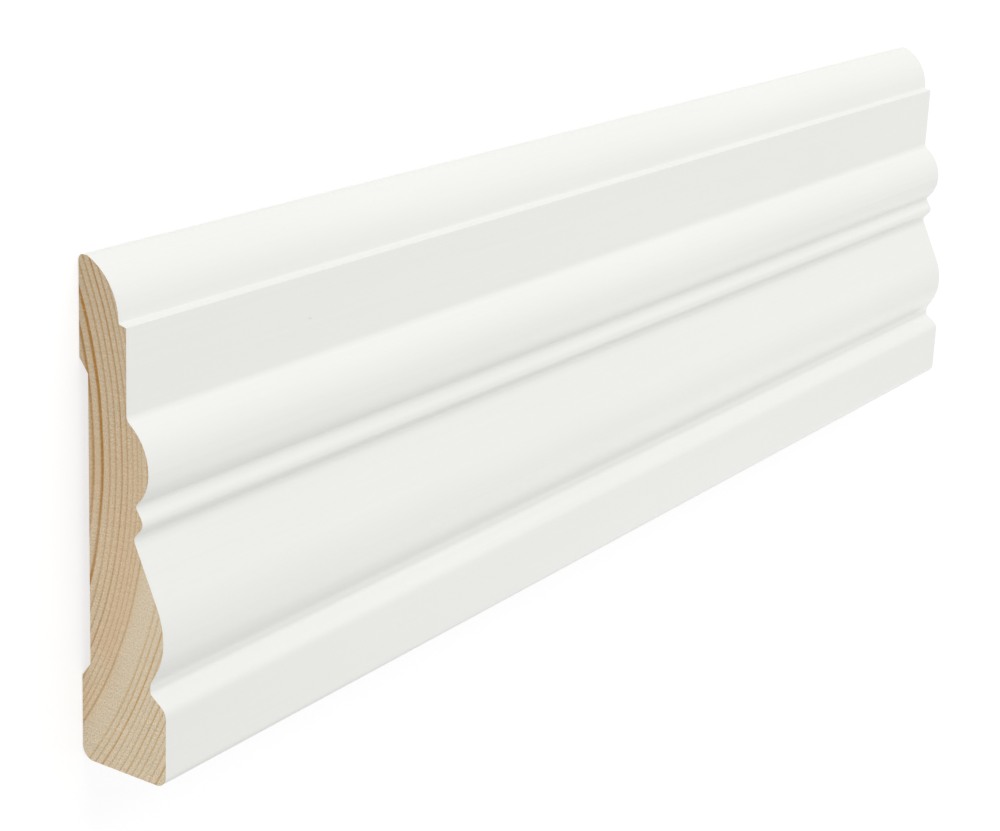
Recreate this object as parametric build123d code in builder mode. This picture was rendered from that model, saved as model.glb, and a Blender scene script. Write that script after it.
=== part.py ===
from build123d import *
from math import radians, tan
import os

os.makedirs("parts", exist_ok=True)

# Door lining board: a cut length of moulded softwood, planed to one section along its whole length.
# It lies on its back. X runs along the length, Y across the width, Z out of the moulded face.
# All sizes are in millimetres, all slopes in degrees.

# Board
board_length = 340.0
board_width = 95.0
board_thickness = 20.0

# Thick edge, square with eased corners, and the thin edge opposite it
thick_edge_back_round = 2.5
thick_edge_front_round = 2.2
thin_edge_height = 2.0
thin_edge_back_round = 1.0

# Relief groove in the back, between two bearing lips
thick_side_lip = 16.5
thin_side_lip = 18.6
groove_depth = 2.0
groove_slope_run = 2.6

# Members of the moulded face in turn, each one's run across the width, from the thick edge on
shoulder_flat = 14.7
shoulder_run = 2.7
quirk_width = 1.9
swell_near_run = 8.3
swell_far_run = 18.2
bead_near_run = 2.9
bead_far_run = 3.3
torus_near_run = 6.3
torus_far_run = 8.85
band_width = 16.55
step_slant = 0.4

# Depths of the members below the flat of the shoulder
quirk_depth = 3.65
swell_depth = 0.6
hollow_depth = 7.6
bead_depth = 5.0
valley_depth = 7.15
torus_depth = 4.05
band_depth = 9.1
step_depth = 10.8

# Slopes on both sides of the swell
swell_near_slope = 31.0
swell_far_slope = 25.5

# Rounds and coves of the moulded face
shoulder_round = 2.4
shoulder_cove = 0.8
quirk_cove = 2.0
hollow_cove = 1.2
bead_round = 1.7
valley_cove = 0.8
torus_cove = 1.8
step_cove = 0.5


def beyond(point, run, depth):
    """Point of the section a run further across the width, at a depth below the shoulder's flat."""
    return (point[0] + run, board_thickness - depth)


def crest_radius(run, drop, slope):
    """Radius of a round that leaves a crest level, turns into a straight slope and so meets a lower point."""
    return (run - drop / tan(radians(slope))) / tan(radians(slope / 2))


# Section, with the middle of the board at zero
thick_edge = -board_width / 2
thin_edge = board_width / 2
thick_edge_foot = (thick_edge, 0)
thick_edge_top = (thick_edge, board_thickness)
thin_edge_foot = (thin_edge, 0)
thin_edge_top = (thin_edge, thin_edge_height)
shoulder = beyond(thick_edge_top, shoulder_flat, 0)
quirk_start = beyond(shoulder, shoulder_run, quirk_depth)
quirk_end = beyond(quirk_start, quirk_width, quirk_depth)
swell_crest = beyond(quirk_end, swell_near_run, swell_depth)
hollow = beyond(swell_crest, swell_far_run, hollow_depth)
bead_peak = beyond(hollow, bead_near_run, bead_depth)
valley = beyond(bead_peak, bead_far_run, valley_depth)
torus_crest = beyond(valley, torus_near_run, torus_depth)
torus_foot = beyond(torus_crest, torus_far_run, band_depth)
step_edge = beyond(torus_foot, band_width, band_depth)
step_foot = beyond(step_edge, step_slant, step_depth)
swell_near_radius = crest_radius(swell_near_run, quirk_depth - swell_depth, swell_near_slope)
swell_far_radius = crest_radius(swell_far_run, hollow_depth - swell_depth, swell_far_slope)

with BuildPart() as lining_board:
    with BuildSketch(Plane.YZ) as section:
        with BuildLine():
            # Back with its relief groove, the thick edge and the slanted shoulder
            Polyline(
                thin_edge_top,
                thin_edge_foot,
                (thin_edge - thin_side_lip, 0),
                (thin_edge - thin_side_lip - groove_slope_run, groove_depth),
                (thick_edge + thick_side_lip + groove_slope_run, groove_depth),
                (thick_edge + thick_side_lip, 0),
                thick_edge_foot,
                thick_edge_top,
                shoulder,
                quirk_start,
                quirk_end,
            )
            # Ogee: from its crest the swell falls in a round and a slope to the quirk and to the hollow
            swell_near = JernArc(swell_crest, (-1, 0), swell_near_radius, swell_near_slope)
            Line(swell_near @ 1, quirk_end)
            swell_far = JernArc(swell_crest, (1, 0), swell_far_radius, -swell_far_slope)
            # Hollow, bead and the valley beyond it
            Polyline(swell_far @ 1, hollow, bead_peak, valley)
            # Torus, an arc on each side of its crest
            TangentArc(torus_crest, valley, tangent=(-1, 0))
            TangentArc(torus_crest, torus_foot, tangent=(1, 0))
            # Plain band, the small step and the round down to the thin edge
            Polyline(torus_foot, step_edge, step_foot)
            TangentArc(step_foot, thin_edge_top, tangent=(1, 0))
        make_face()
        # Corners that the planer leaves rounded or coved
        rounded_corners = (
            (thin_edge_foot, thin_edge_back_round),
            (thick_edge_foot, thick_edge_back_round),
            (thick_edge_top, thick_edge_front_round),
            (shoulder, shoulder_round),
            (quirk_start, shoulder_cove),
            (quirk_end, quirk_cove),
            (hollow, hollow_cove),
            (bead_peak, bead_round),
            (valley, valley_cove),
            (torus_foot, torus_cove),
            (step_foot, step_cove),
        )
        for place, radius in rounded_corners:
            corner = section.vertices().sort_by_distance(place)[0]
            fillet(corner, radius)
    extrude(amount=board_length / 2, both=True)

lining_board.part.label = "lining_board"
export_step(lining_board.part, "parts/lining_board.step")
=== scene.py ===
import bpy
import math
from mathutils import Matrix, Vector

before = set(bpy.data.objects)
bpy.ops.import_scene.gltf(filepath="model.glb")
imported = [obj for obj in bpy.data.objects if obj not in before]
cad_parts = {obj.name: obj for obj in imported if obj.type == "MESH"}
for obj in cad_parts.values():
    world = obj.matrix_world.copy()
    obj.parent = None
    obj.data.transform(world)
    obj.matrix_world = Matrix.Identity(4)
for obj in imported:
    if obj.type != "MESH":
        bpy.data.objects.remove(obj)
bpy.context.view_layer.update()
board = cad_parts["lining_board"]

# Patterns are measured in millimetres: along the board from its middle, across it, and up from its back
LEFT_END = -170.0
MILLIMETRES_IN_A_METRE = (1000.0, 1000.0, 1000.0)

# The tree's pith runs along the board, behind its back, and the tree tapers a little
PITH_ACROSS = 11.75
PITH_UP = -80.0
TAPER = 0.012

# Late wood of each year: its distance from the pith, and how dark it is
YEARS = (
    (78.2, 0.40), (79.8, 0.50), (81.4, 0.35), (83.2, 0.60), (85.3, 0.90), (87.1, 0.40), (88.5, 0.42),
    (89.9, 0.58), (91.2, 0.42), (92.4, 0.30), (93.5, 0.30), (94.4, 0.26), (95.6, 0.42), (100.7, 0.32),
    (101.9, 0.34), (103.3, 0.50), (104.6, 0.32), (105.6, 0.18), (106.7, 0.34), (108.0, 0.42),
    (109.2, 0.32), (110.4, 0.36), (111.6, 0.20), (112.7, 0.32), (114.1, 0.48), (115.5, 0.30),
    (116.8, 0.40), (118.3, 0.30), (119.6, 0.45),
)

# Where a year's wood runs on more slowly or faster: distance from the pith, and years gone by
SLOWER_AND_FASTER = ((82.8, 3.65), (83.5, 3.93), (84.85, 4.62), (85.7, 4.95), (95.9, 12.96), (100.0, 13.35))

# Nearest and farthest wood that the years reach
YEARS_FROM = 78.0
YEARS_TO = 122.0

# When in a year the late wood is darkest, and how dark the wood is at each part of the year
DARKEST = 0.8
THROUGH_A_YEAR = ((0.38, 0.0), (0.6, 0.16), (0.72, 0.8), (DARKEST, 1.0), (0.88, 0.85), (0.97, 0.0))

# How far slow waves and ragged patches push the years out of their round
WAVE_PUSH = 0.9
PATCH_PUSH = 6.0

# Bare wood: early wood in its patches and places, late wood, and the tufts that a saw lifts
EARLY_TAN = (0.84, 0.68, 0.47)
EARLY_PINKISH = (0.845, 0.635, 0.41)
EARLY_BY_THE_FACE = (0.82, 0.62, 0.40)
EARLY_BY_THE_THIN_EDGE = (0.70, 0.56, 0.378)
EARLY_OF_OUTER_YEARS = (0.845, 0.71, 0.51)
LATE_OF_INNER_YEARS = (0.49, 0.235, 0.04)
LATE_OF_OUTER_YEARS = (0.62, 0.35, 0.075)
TUFT_COLOUR = (0.90, 0.79, 0.60)

# How much the fibres darken and lighten each colour, and the share of saw marks among them
FIBRE_SHADES = {"Red": (0.76, 1.23), "Green": (0.77, 1.22), "Blue": (0.745, 1.245)}
MARK_SHARE = 0.15

# Paint: its duller and brighter tones, and a scuff of about 1.2 by 0.5 mm on the plain band,
# with how fast it fades along, across and up
COAT_DULLER = (0.849, 0.853, 0.819)
COAT_BRIGHTER = (0.871, 0.875, 0.845)
SCUFF_COLOUR = (0.76, 0.765, 0.73)
SCUFF_PLACE = (-119.4, 27.5, 10.9)
SCUFF_FADE = (1.7, 4.5, 0.0)

# Roughness of the paint, from its smoothest to its roughest spots, and of bare wood
PAINT_ROUGHNESS = (0.36, 0.46)
WOOD_ROUGHNESS = 0.72

# Relief in metres, and the share of it that each thing has
RELIEF = 0.00006
LATE_RELIEF = 0.5
FIBRE_RELIEF = 0.6
RIPPLE_RELIEF = 0.12
STREAK_RELIEF = 0.6
SPRAY_RELIEF = 0.5
PAINT_RELIEF = 0.12

# The planer's ripples lie about 1.6 mm apart: their turn in radians for each millimetre
RIPPLE_TURN = 3.9

# Nearer to the middle of its width than this, the board faces down only in its groove and on its lips
GROOVE_REACH = 36.0

# Light: the light from all round, the share of it that shades the floor round the board,
# how white the floor is far from the lamps, and how much of the light it throws back
LIGHT_AROUND = 0.69
FLOOR_SHARE = 0.36
FLOOR_WHITE = 0.97
FLOOR_BOUNCE = 0.86

# The floor's size, and its distance below the board, in metres
FLOOR_SIZE = 12
FLOOR_DROP = 0.0002


# Small helpers for node trees

def add(tree, kind, name, links=None, **settings):
    """Adds one node. links maps an input's name or number to a socket or to a value."""
    made = tree.nodes.new(kind)
    made.name = name
    made.label = name
    for key, value in settings.items():
        setattr(made, key, value)
    for key, value in (links or {}).items():
        if isinstance(value, bpy.types.NodeSocket):
            tree.links.new(value, made.inputs[key])
        else:
            made.inputs[key].default_value = value
    return made


def math_node(tree, name, operation, *values, clamp=False):
    links = dict(enumerate(values))
    return add(tree, "ShaderNodeMath", name, links, operation=operation, use_clamp=clamp).outputs[0]


def scaled(tree, name, vector, factors):
    """Stretches a place by three factors, as a Mapping node."""
    return add(tree, "ShaderNodeMapping", name, {"Vector": vector, "Scale": factors}).outputs[0]


def noise(tree, name, vector, scale, detail, roughness=0.5):
    made = add(
        tree, "ShaderNodeTexNoise", name,
        {"Vector": vector, "Scale": scale, "Detail": detail, "Roughness": roughness},
    )
    return made.outputs["Fac"]


def stretched_noise(tree, name, place, fineness, detail, roughness=0.5):
    """Noise that is finer one way than another: fineness is for a millimetre along, across and up."""
    return noise(tree, name, scaled(tree, name + " fineness", place, fineness), 1.0, detail, roughness)


def swing(tree, name, value, depth):
    """Makes a value between 0 and 1 swing to both sides of zero."""
    centred = math_node(tree, name + " centred", "SUBTRACT", value, 0.5)
    return math_node(tree, name, "MULTIPLY", centred, depth)


def spread(tree, name, value, span, to=(0.0, 1.0), smooth=False):
    """Maps one span of a value to another, and stops at both ends."""
    made = add(
        tree, "ShaderNodeMapRange", name,
        {"Value": value, "From Min": span[0], "From Max": span[1], "To Min": to[0], "To Max": to[1]},
        interpolation_type="SMOOTHSTEP" if smooth else "LINEAR",
    )
    return made.outputs["Result"]


def mix_values(tree, name, factor, first, second):
    return add(tree, "ShaderNodeMix", name, {0: factor, 2: first, 3: second}, data_type="FLOAT").outputs[0]


def blend(tree, name, factor, first, second, mode="MIX"):
    """Mixes two colours, each a socket or three numbers."""
    made = add(tree, "ShaderNodeMix", name, data_type="RGBA", blend_type=mode)
    for socket, value in ((made.inputs[0], factor), (made.inputs[6], first), (made.inputs[7], second)):
        if isinstance(value, bpy.types.NodeSocket):
            tree.links.new(value, socket)
        else:
            socket.default_value = value if isinstance(value, float) else (*value, 1.0)
    return made.outputs[2]


def new_group(name, inputs, outputs):
    tree = bpy.data.node_groups.new(name, "ShaderNodeTree")
    for label, kind in inputs:
        tree.interface.new_socket(name=label, in_out="INPUT", socket_type=kind)
    for label, kind in outputs:
        tree.interface.new_socket(name=label, in_out="OUTPUT", socket_type=kind)
    return tree, tree.nodes.new("NodeGroupInput"), tree.nodes.new("NodeGroupOutput")


def use_group(tree, group, name, links):
    made = tree.nodes.new("ShaderNodeGroup")
    made.node_tree = group
    made.name = name
    for key, value in links.items():
        tree.links.new(value, made.inputs[key])
    return made


def grey(value):
    return (value, value, value, 1.0)


def seen_or_mirrored(tree):
    """Is 1 for what the camera sees, itself or in a mirroring or clear surface."""
    rays = add(tree, "ShaderNodeLightPath", "rays").outputs
    mirrored = math_node(tree, "mirrored", "MAXIMUM", rays["Is Glossy Ray"], rays["Is Transmission Ray"])
    return math_node(tree, "seen or mirrored", "MAXIMUM", rays["Is Camera Ray"], mirrored)


# Bare pine: growth rings round the pith, fibres along the board

def along_radius(tree, name, radius, points, most):
    """Follows straight lines through points, each a distance from the pith and a value up to the most."""
    share = spread(tree, name + " place", radius, (YEARS_FROM, YEARS_TO))
    made = add(tree, "ShaderNodeFloatCurve", name, {"Value": share})
    curve = made.mapping.curves[0]
    curve.points[0].location = (0.0, 0.0)
    curve.points[-1].location = (1.0, points[-1][1] / most)
    for distance, value in points:
        curve.points.new((distance - YEARS_FROM) / (YEARS_TO - YEARS_FROM), value / most)
    for point in curve.points:
        point.handle_type = "VECTOR"
    made.mapping.update()
    return math_node(tree, name + " value", "MULTIPLY", made.outputs["Value"], float(most))


def through_the_year(tree, years):
    """Darkness at each part of a year."""
    part_of_year = math_node(tree, "part of year", "FRACT", years)
    late = add(tree, "ShaderNodeValToRGB", "late wood", {"Fac": part_of_year})
    stops = late.color_ramp.elements
    stops.remove(stops[1])
    stops[0].position = THROUGH_A_YEAR[0][0]
    stops[0].color = grey(THROUGH_A_YEAR[0][1])
    for position, darkness in THROUGH_A_YEAR[1:]:
        stops.new(position).color = grey(darkness)
    return late.outputs["Color"]


def pine_grain():
    """Place is in millimetres. Sawn is 1 at the cut ends, where the saw roughens the fibres."""
    tree, given, result = new_group(
        "pine grain",
        [("Place", "NodeSocketVector"), ("Sawn", "NodeSocketFloat")],
        [("Color", "NodeSocketColor"), ("Height", "NodeSocketFloat")],
    )
    place = given.outputs["Place"]
    sawn = given.outputs["Sawn"]
    along, across, up = add(tree, "ShaderNodeSeparateXYZ", "along, across and up", {"Vector": place}).outputs

    # Distance from the pith, with a slight taper along the board and slow waves
    from_pith_across = math_node(tree, "across from pith", "SUBTRACT", across, PITH_ACROSS)
    from_pith_up = math_node(tree, "up from pith", "SUBTRACT", up, PITH_UP)
    across_squared = math_node(tree, "across squared", "POWER", from_pith_across, 2.0)
    up_squared = math_node(tree, "up squared", "POWER", from_pith_up, 2.0)
    squares = math_node(tree, "squares", "ADD", across_squared, up_squared)
    radius = math_node(tree, "radius", "SQRT", squares)
    from_left_end = math_node(tree, "from left end", "ADD", along, -LEFT_END)
    taper = math_node(tree, "taper", "MULTIPLY", from_left_end, TAPER)
    wave = stretched_noise(tree, "slow wave", place, (0.008, 0.045, 0.045), detail=1.0)
    radius = math_node(tree, "tapered radius", "ADD", radius, taper)
    radius = math_node(tree, "waved radius", "ADD", radius, swing(tree, "wave push", wave, WAVE_PUSH))

    # Each year darkens towards its late wood, which ends sharply and is darker near both long edges
    centres = [(distance, count + DARKEST) for count, (distance, _) in enumerate(YEARS)]
    years = along_radius(tree, "years", radius, sorted(centres + list(SLOWER_AND_FASTER)), len(YEARS) + 2)
    strength = along_radius(tree, "strength of years", radius, YEARS, 1)
    uneven = stretched_noise(tree, "uneven years", place, (0.01, 0.055, 0.055), detail=1.0)
    uneven = spread(tree, "unevenness", uneven, (0.35, 0.65), to=(0.77, 1.37))
    near_thin_edge = spread(tree, "near the thin edge", across, (15, 34), to=(0.0, 0.6))
    near_thick_edge = spread(tree, "near the thick edge", across, (-8, -45), to=(0.0, 0.7))
    uneven = math_node(tree, "stronger near the thin edge", "ADD", uneven, near_thin_edge)
    uneven = math_node(tree, "stronger near the thick edge", "ADD", uneven, near_thick_edge)
    strength = math_node(tree, "uneven strength", "MULTIPLY", strength, uneven)
    late = math_node(tree, "late amount", "MULTIPLY", through_the_year(tree, years), strength, clamp=True)

    # Early wood is pinkish in patches, warmer by the face, browner by the thin edge, paler in outer years
    patch = stretched_noise(tree, "patches", place, (0.01, 0.08, 0.08), detail=2.0)
    ragged = math_node(tree, "ragged years", "ADD", radius, swing(tree, "patch push", patch, PATCH_PUSH))
    outer = spread(tree, "outer years", ragged, (94.5, 98.5), smooth=True)
    pinkish = spread(tree, "pinkish patches", patch, (0.42, 0.6))
    by_the_face = spread(tree, "by the face", up, (4, 11))
    by_the_thin_edge = spread(tree, "by the thin edge", across, (-8, 40))
    early = blend(tree, "tan or pinkish", pinkish, EARLY_TAN, EARLY_PINKISH)
    early = blend(tree, "warmer wood", by_the_face, early, EARLY_BY_THE_FACE)
    early = blend(tree, "browner wood", by_the_thin_edge, early, EARLY_BY_THE_THIN_EDGE)
    early = blend(tree, "early wood", outer, early, EARLY_OF_OUTER_YEARS)
    late_colour = blend(tree, "late wood colour", outer, LATE_OF_INNER_YEARS, LATE_OF_OUTER_YEARS)
    wood = blend(tree, "with late wood", late, early, late_colour)

    # Fibres run along the board; at a cut end they show as speckle in patches, with faint saw marks
    fibre = stretched_noise(tree, "fibres", place, (0.03, 2.6, 2.6), detail=3.0, roughness=0.65)
    speckle = noise(tree, "sawn fibres", place, 3.1, detail=3.0, roughness=0.75)
    marks = stretched_noise(tree, "saw marks", place, (0.0, 2.0, 0.16), detail=2.0, roughness=0.6)
    speckle = math_node(tree, "speckle share", "MULTIPLY", speckle, 1 - MARK_SHARE)
    marks = math_node(tree, "mark share", "MULTIPLY", marks, MARK_SHARE)
    sawn_texture = math_node(tree, "sawn texture", "ADD", speckle, marks)
    sawn_texture = math_node(tree, "sawn texture centred", "SUBTRACT", sawn_texture, 0.5)
    how_rough = spread(tree, "how rough", patch, (0.4, 0.6), to=(1.2, 0.8))
    sawn_texture = math_node(tree, "rough patches", "MULTIPLY_ADD", sawn_texture, how_rough, 0.5)
    texture = mix_values(tree, "texture", sawn, fibre, sawn_texture)
    shades = {}
    for colour, reach in FIBRE_SHADES.items():
        shades[colour] = spread(tree, colour + " shade", texture, (0.35, 0.65), to=reach)
    shade = add(tree, "ShaderNodeCombineColor", "shade", shades).outputs[0]
    wood = blend(tree, "with fibres", 1.0, wood, shade, "MULTIPLY")

    # The saw lifts small pale tufts here and there on the ends
    tufts = noise(tree, "tuft places", place, 1.5, detail=2.0, roughness=0.7)
    tufts = spread(tree, "tufts", tufts, (0.56, 0.72), to=(0.0, 0.5))
    tufts = math_node(tree, "tufts on the ends", "MULTIPLY", tufts, sawn)
    tuft_patches = spread(tree, "tuft patches", patch, (0.4, 0.6), to=(0.3, 1.0))
    tufts = math_node(tree, "tufts in patches", "MULTIPLY", tufts, tuft_patches)
    wood = blend(tree, "with tufts", tufts, wood, TUFT_COLOUR)

    # Late wood stands proud, fibres are rough, and the planer leaves ripples along the back
    ripple_turn = math_node(tree, "ripple turn", "MULTIPLY", along, RIPPLE_TURN)
    ripple = math_node(tree, "planer ripple", "SINE", ripple_turn)
    planed = math_node(tree, "planed", "SUBTRACT", 1.0, sawn)
    ripple_relief = math_node(tree, "ripple relief", "MULTIPLY", planed, RIPPLE_RELIEF)
    ripple = math_node(tree, "ripple on the back", "MULTIPLY", ripple, ripple_relief)
    late_relief = math_node(tree, "late relief", "MULTIPLY", late, LATE_RELIEF)
    height = math_node(tree, "late wood and ripple", "ADD", late_relief, ripple)
    fibre_relief = math_node(tree, "fibre relief", "MULTIPLY", texture, FIBRE_RELIEF)
    height = math_node(tree, "relief", "ADD", height, fibre_relief)
    tree.links.new(wood, result.inputs["Color"])
    tree.links.new(height, result.inputs["Height"])
    return tree


# White satin paint, sprayed over planed pine

def satin_paint():
    """Place is in millimetres."""
    tree, given, result = new_group(
        "satin paint",
        [("Place", "NodeSocketVector")],
        [("Color", "NodeSocketColor"), ("Roughness", "NodeSocketFloat"), ("Height", "NodeSocketFloat")],
    )
    place = given.outputs["Place"]
    streak = stretched_noise(tree, "grain under paint", place, (0.012, 1.4, 1.4), detail=3.0, roughness=0.6)
    spray = noise(tree, "spray texture", place, 0.9, detail=2.0)
    cloud = stretched_noise(tree, "uneven coat", place, (0.015, 0.05, 0.05), detail=2.0)
    half_streak = math_node(tree, "half streak", "MULTIPLY", streak, 0.5)
    half_cloud = math_node(tree, "half cloud", "MULTIPLY", cloud, 0.5)
    tone = math_node(tree, "streak and cloud", "ADD", half_streak, half_cloud)
    tone = spread(tree, "tone", tone, (0.3, 0.7))
    colour = blend(tree, "coat", tone, COAT_DULLER, COAT_BRIGHTER)

    # The scuff fades out towards its rim
    subtraction = add(
        tree, "ShaderNodeVectorMath", "from scuff", {0: place, 1: SCUFF_PLACE}, operation="SUBTRACT",
    )
    stretched = scaled(tree, "scuff fade", subtraction.outputs[0], SCUFF_FADE)
    reach = add(tree, "ShaderNodeVectorMath", "scuff reach", {0: stretched}, operation="LENGTH")
    beyond_scuff = spread(tree, "beyond the scuff", reach.outputs["Value"], (0.6, 1.2))
    colour = blend(tree, "with scuff", beyond_scuff, SCUFF_COLOUR, colour)

    # The spray leaves the sheen uneven, and the grain shows faintly through the coat
    roughness = spread(tree, "sheen", spray, (0.3, 0.7), to=PAINT_ROUGHNESS)
    streak_relief = math_node(tree, "streak relief", "MULTIPLY", streak, STREAK_RELIEF)
    spray_relief = math_node(tree, "spray relief", "MULTIPLY", spray, SPRAY_RELIEF)
    height = math_node(tree, "coat relief", "ADD", streak_relief, spray_relief)
    tree.links.new(colour, result.inputs["Color"])
    tree.links.new(roughness, result.inputs["Roughness"])
    tree.links.new(height, result.inputs["Height"])
    return tree


def painted_pine(pine, paint):
    """Paint on the face and both long edges, bare pine at the cut ends, on the back and in its groove."""
    material = bpy.data.materials.new("painted_pine")
    material.use_nodes = True
    tree = material.node_tree
    tree.nodes.clear()
    coordinates = add(tree, "ShaderNodeTexCoord", "board coordinates").outputs
    place = scaled(tree, "in millimetres", coordinates["Object"], MILLIMETRES_IN_A_METRE)
    facing = add(tree, "ShaderNodeSeparateXYZ", "facing", {"Vector": coordinates["Normal"]}).outputs

    # Cut ends face along the board
    towards_an_end = math_node(tree, "towards an end", "ABSOLUTE", facing["X"])
    ends = math_node(tree, "cut ends", "GREATER_THAN", towards_an_end, 0.5)

    # The back faces down, and spray fades out raggedly round its edges
    spray_edge = noise(tree, "spray edge", place, 0.35, detail=3.0)
    ragged = swing(tree, "raggedness", spray_edge, 0.5)
    down = math_node(tree, "ragged down", "ADD", facing["Z"], ragged)
    back = spread(tree, "back", down, (-0.7, -0.85))

    # The groove's slanted sides are bare too
    across = add(tree, "ShaderNodeSeparateXYZ", "place parts", {"Vector": place}).outputs["Y"]
    from_middle = math_node(tree, "from middle", "ABSOLUTE", across)
    near_middle = math_node(tree, "near the middle", "LESS_THAN", from_middle, GROOVE_REACH)
    slanting = math_node(tree, "faces down", "LESS_THAN", facing["Z"], -0.3)
    groove = math_node(tree, "groove", "MULTIPLY", near_middle, slanting)
    back = math_node(tree, "back and groove", "MAXIMUM", back, groove)
    bare = math_node(tree, "bare wood", "MAXIMUM", ends, back)

    wood = use_group(tree, pine, "pine", {"Place": place, "Sawn": ends}).outputs
    coat = use_group(tree, paint, "paint", {"Place": place}).outputs
    colour = blend(tree, "paint or wood", bare, coat["Color"], wood["Color"])
    roughness = mix_values(tree, "roughness", bare, coat["Roughness"], WOOD_ROUGHNESS)
    paint_height = math_node(tree, "paint height", "MULTIPLY", coat["Height"], PAINT_RELIEF)
    height = mix_values(tree, "height", bare, paint_height, wood["Height"])
    bump = add(
        tree, "ShaderNodeBump", "surface relief",
        {"Height": height, "Strength": 1.0, "Distance": RELIEF},
    )
    shader = add(
        tree, "ShaderNodeBsdfPrincipled", "board surface",
        {"Base Color": colour, "Roughness": roughness, "Normal": bump.outputs[0], "IOR": 1.5},
    )
    add(tree, "ShaderNodeOutputMaterial", "out", {"Surface": shader.outputs[0]})
    return material


board.data.materials[0] = painted_pine(pine_grain(), satin_paint())

for leftover in ("Cube", "Light", "Camera"):
    if leftover in bpy.data.objects:
        bpy.data.objects.remove(bpy.data.objects[leftover])


# Floor: pale and plain, white where nothing shades it

def white_floor():
    bpy.ops.object.select_all(action="DESELECT")
    bpy.ops.mesh.primitive_plane_add(size=FLOOR_SIZE, location=(0, 0, -FLOOR_DROP))
    floor = bpy.context.active_object
    floor.name = "floor"
    material = bpy.data.materials.new("floor_white")
    material.use_nodes = True
    tree = material.node_tree
    tree.nodes.clear()
    bounce = add(tree, "ShaderNodeBsdfDiffuse", "light thrown back", {"Color": grey(FLOOR_BOUNCE)})
    matt = add(tree, "ShaderNodeBsdfDiffuse", "matt share", {"Color": grey(FLOOR_SHARE)})
    left_to_white = FLOOR_WHITE - FLOOR_SHARE * LIGHT_AROUND
    lift = add(tree, "ShaderNodeEmission", "white lift", {"Color": grey(1.0), "Strength": left_to_white})
    white = add(tree, "ShaderNodeAddShader", "share and lift", {0: matt.outputs[0], 1: lift.outputs[0]})
    mixed = add(
        tree, "ShaderNodeMixShader", "seen white",
        {0: seen_or_mirrored(tree), 1: bounce.outputs[0], 2: white.outputs[0]},
    )
    add(tree, "ShaderNodeOutputMaterial", "out", {"Surface": mixed.outputs[0]})
    floor.data.materials.append(material)


white_floor()


# Soft studio light

def studio_world():
    world = bpy.data.worlds.new("studio")
    bpy.context.scene.world = world
    world.use_nodes = True
    tree = world.node_tree
    tree.nodes.clear()
    around = add(tree, "ShaderNodeBackground", "all round", {"Color": grey(1.0), "Strength": LIGHT_AROUND})
    white = add(tree, "ShaderNodeBackground", "white", {"Color": grey(1.0), "Strength": 1.0})
    mixed = add(
        tree, "ShaderNodeMixShader", "seen white",
        {0: seen_or_mirrored(tree), 1: around.outputs[0], 2: white.outputs[0]},
    )
    add(tree, "ShaderNodeOutputWorld", "out", {"Surface": mixed.outputs[0]})


def soft_box(name, place, size, power):
    """A square lamp at a place in metres, facing the middle of the board's back."""
    lamp = bpy.data.lights.new(name, "AREA")
    lamp.shape = "SQUARE"
    lamp.size = size
    lamp.energy = power
    holder = bpy.data.objects.new(name, lamp)
    bpy.context.scene.collection.objects.link(holder)
    holder.location = place
    towards_board = -Vector(place)
    holder.rotation_euler = towards_board.to_track_quat("-Z", "Y").to_euler()


studio_world()
soft_box("key_light", place=(0.06, 1.2, 0.9), size=1.2, power=8.9)
soft_box("low_light", place=(1.0, -0.7, 0.35), size=0.6, power=1.1)


# Camera at the photograph's viewing angle, turned in degrees

def photo_camera(place, turns, lens_length, shift_up):
    lens = bpy.data.cameras.new("photo_camera")
    lens.sensor_width = 36.0
    lens.lens = lens_length
    lens.shift_y = shift_up
    lens.clip_start = 0.01
    holder = bpy.data.objects.new("photo_camera", lens)
    bpy.context.scene.collection.objects.link(holder)
    holder.location = place
    holder.rotation_euler = [math.radians(turn) for turn in turns]
    bpy.context.scene.camera = holder


photo_camera(
    place=(-0.44734, 0.14428, 0.26686),
    turns=(-20.1616, -56.2083, 4.4460),
    lens_length=81.99,
    shift_up=-0.0604,
)

bpy.context.scene.view_settings.view_transform = "Standard"
